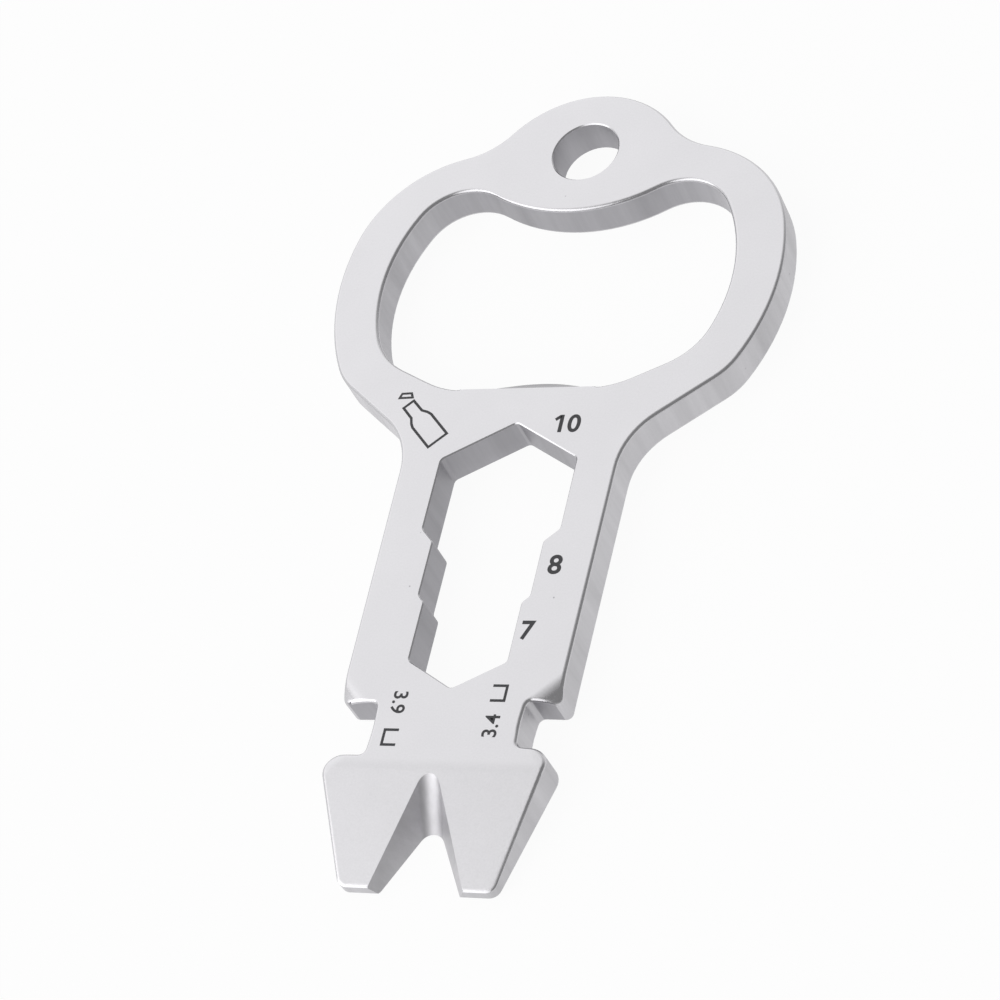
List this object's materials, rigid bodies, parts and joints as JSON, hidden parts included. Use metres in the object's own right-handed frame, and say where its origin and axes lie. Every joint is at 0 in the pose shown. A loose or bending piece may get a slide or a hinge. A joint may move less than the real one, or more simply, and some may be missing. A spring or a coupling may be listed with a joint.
{
  "type": "keychain multi-tool",
  "caption": "Flat keychain multi-tool in satin stainless steel: ring-shaped bottle opener, key-ring hole, stepped hexagon wrench slot, spoke notches and a bevelled nail claw.",
  "frame": {"origin": "middle of the plate's length and width, on its back face", "axes": "+X across the plate, +Y along it from the nail claw to the key-ring hole, +Z out of the front face"},
  "size_m": [0.0336, 0.063, 0.0028],
  "materials": {
    "satin_stainless_steel": "satin, fine tumbled grain, small laser marks on the front"
  },
  "bodies": {
    "root": {"tool_plate": "satin_stainless_steel"}
  },
  "joints": []
}
